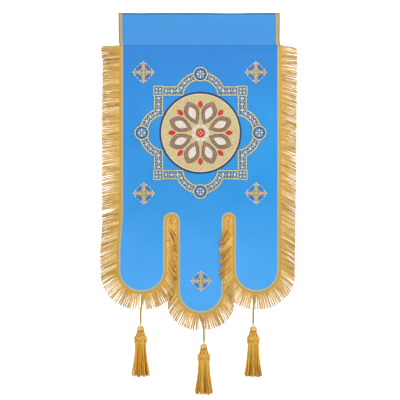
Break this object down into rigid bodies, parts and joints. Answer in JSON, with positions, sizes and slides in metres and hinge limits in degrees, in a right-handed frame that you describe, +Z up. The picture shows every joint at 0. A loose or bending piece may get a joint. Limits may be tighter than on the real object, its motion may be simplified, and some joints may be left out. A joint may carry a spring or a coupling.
{
  "type": "church banner",
  "caption": "Hanging cloth banner with a pole sleeve, rounded tongues, gold fringe, raised embroidery and hanging tassels.",
  "frame": {"origin": "inside the top of the pole sleeve, at the middle of the banner's width, where a pole carries it", "axes": "+Z up, +X to the right of a person who faces the banner, and the banner's face looks along -Y"},
  "size_m": [0.74, 0.0682, 1.43],
  "materials": {
    "blue_satin": "blue satin weave with a soft sheen",
    "gold_braid": "woven metallic gold braid",
    "gold_fringe": "twisted metallic gold yarn",
    "cream_embroidery": "cream and gold filling stitches",
    "gold_embroidery": "gold and white machine stitches",
    "gold_cord": "twisted metallic gold cord",
    "gold_tassel": "metallic gold yarn"
  },
  "bodies": {
    "root": {"panel": "blue_satin", "pole_sleeve": "blue_satin", "sleeve_braid_left": "gold_braid", "sleeve_braid_right": "gold_braid", "fringe": "gold_fringe", "medallion_ground": "cream_embroidery", "medallion_frame": "gold_embroidery", "cross_top_left": "gold_embroidery", "cross_top_right": "gold_embroidery", "cross_low_left": "gold_embroidery", "cross_low_right": "gold_embroidery", "cross_tongue": "gold_embroidery", "tassel_cord_left": "gold_cord", "tassel_cord_middle": "gold_cord", "tassel_cord_right": "gold_cord", "tassel_left": "gold_tassel", "tassel_middle": "gold_tassel", "tassel_right": "gold_tassel"}
  },
  "joints": []
}
